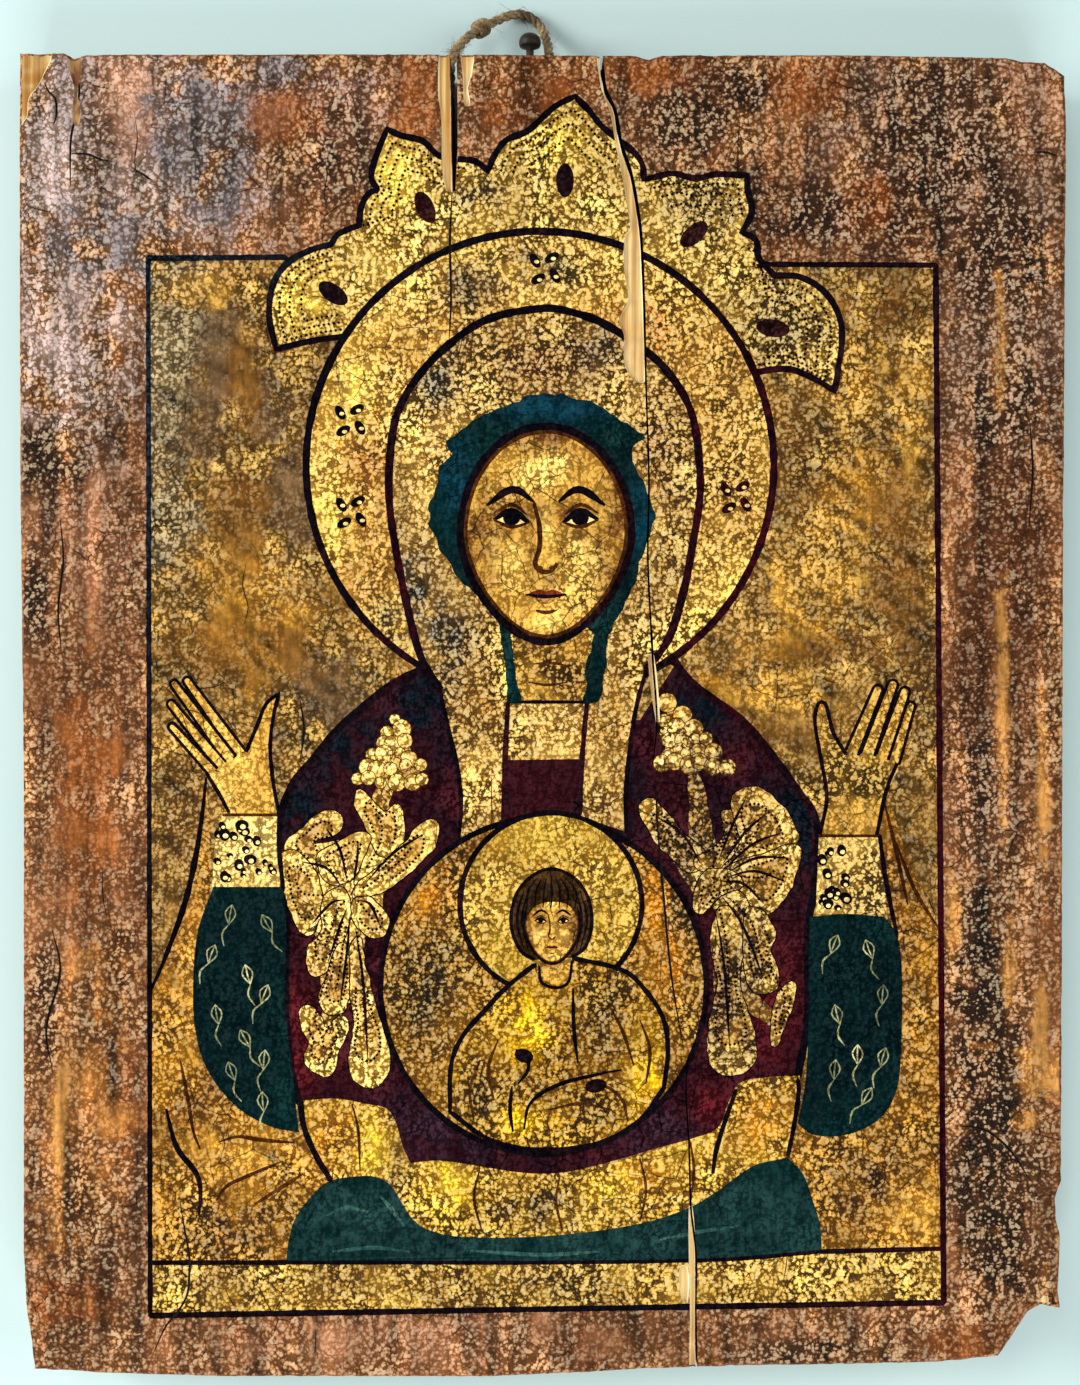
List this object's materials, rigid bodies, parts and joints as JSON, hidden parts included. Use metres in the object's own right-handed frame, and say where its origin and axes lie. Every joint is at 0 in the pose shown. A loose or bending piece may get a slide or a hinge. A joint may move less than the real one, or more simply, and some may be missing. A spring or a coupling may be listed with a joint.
{
  "type": "icon panel",
  "caption": "Old painted icon panel: a split, worn wooden board with a gold-ground half figure, an iron nail and a twine hanging loop in its top edge.",
  "frame": {"origin": "centre of the board's back face, the face it lies on", "axes": "+X to the picture's right, +Y to the picture's top edge with the nail and the loop, +Z out of the painted face"},
  "size_m": [0.3148, 0.4193, 0.026],
  "materials": {
    "painted_board": "old tempera and gold paint on gesso over softwood, dense dark crackle, worn varnish, bare wood at the losses and splits",
    "nail_iron": "dark forged iron, matt, slightly rusted",
    "twine": "dry twisted jute, dusty and slightly frayed"
  },
  "bodies": {
    "root": {"panel_board": "painted_board", "edge_nail": "nail_iron", "hanging_loop": "twine"}
  },
  "joints": []
}
